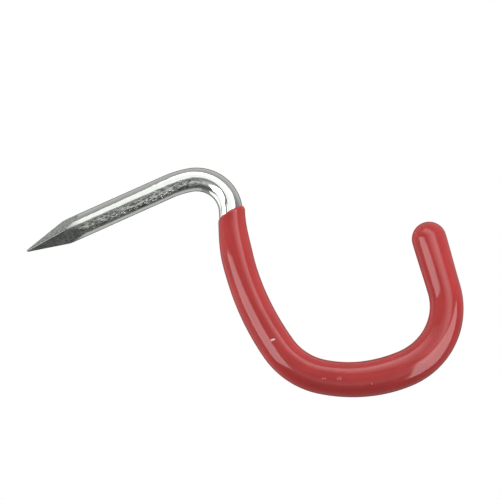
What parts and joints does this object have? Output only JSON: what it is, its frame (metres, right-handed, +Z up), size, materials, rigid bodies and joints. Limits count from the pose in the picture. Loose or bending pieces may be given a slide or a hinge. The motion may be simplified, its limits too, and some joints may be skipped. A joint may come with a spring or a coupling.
{
  "type": "hammer-in hook",
  "caption": "J-shaped hanging hook of bent zinc-plated steel wire with a four-sided driving point, its J dipped in thick red vinyl; hammered into wood to hang hoses, tools or cords.",
  "frame": {"origin": "on the shank's axis where the straight shank ends and the bend begins, which is at the wall's face when the hook is driven home", "axes": "+X away from the wall, along the shank; +Z up as the hook is used; +Y across the hook, which is symmetric about the plane Y = 0"},
  "size_m": [0.102, 0.0096, 0.0788],
  "materials": {
    "zinc_plated_steel": "bright zinc plating with drawn streaks",
    "red_vinyl": "glossy dipped vinyl"
  },
  "bodies": {
    "root": {"steel_rod": "zinc_plated_steel", "vinyl_coating": "red_vinyl"}
  },
  "joints": []
}
